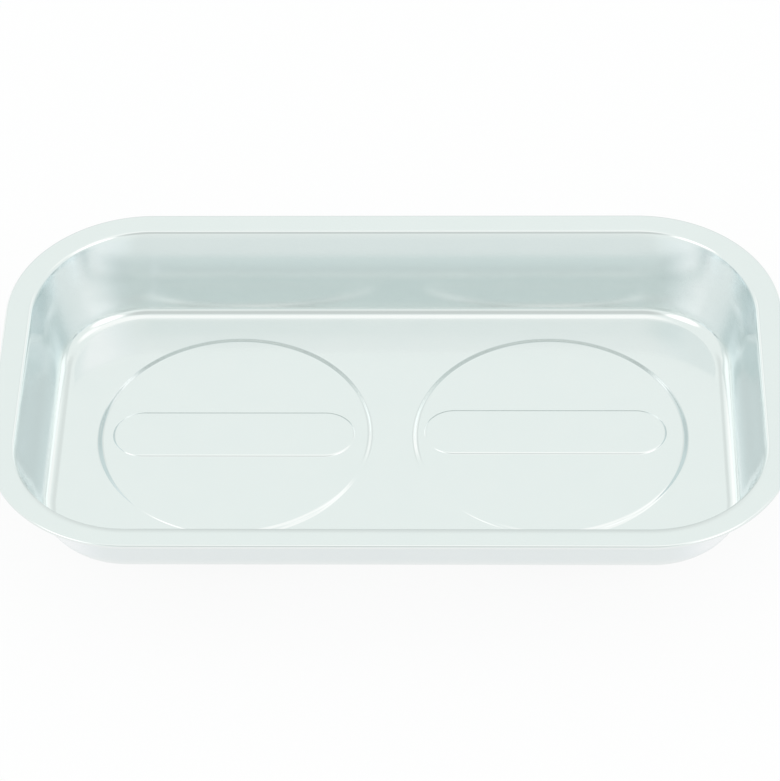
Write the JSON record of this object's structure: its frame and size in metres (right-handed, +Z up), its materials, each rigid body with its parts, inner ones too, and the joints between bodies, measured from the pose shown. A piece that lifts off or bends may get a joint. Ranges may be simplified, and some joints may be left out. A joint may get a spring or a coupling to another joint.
{
  "type": "magnetic parts tray",
  "caption": "Pressed stainless steel tray with a hemmed rim and round seats in its floor, standing on rubber-covered ring magnets that hold steel parts in it.",
  "frame": {"origin": "on the surface that the rubber covers stand on, under the middle of the dish", "axes": "+X along the tray's long side, +Y from the near long side to the far one, +Z up"},
  "size_m": [0.24, 0.1426, 0.0373],
  "materials": {
    "stainless_sheet": "bright drawn stainless sheet, polished walls and a soft satin floor",
    "bond_tape": "off-white acrylic foam tape",
    "ferrite": "ground grey-black ferrite",
    "zinc_steel": "zinc-plated mild steel",
    "black_rubber": "matt moulded black rubber"
  },
  "bodies": {
    "root": {"dish": "stainless_sheet", "left_bond_tape": "bond_tape", "left_ring_magnet": "ferrite", "left_pole_plate": "zinc_steel", "left_rubber_cover": "black_rubber", "right_bond_tape": "bond_tape", "right_ring_magnet": "ferrite", "right_pole_plate": "zinc_steel", "right_rubber_cover": "black_rubber"}
  },
  "joints": []
}
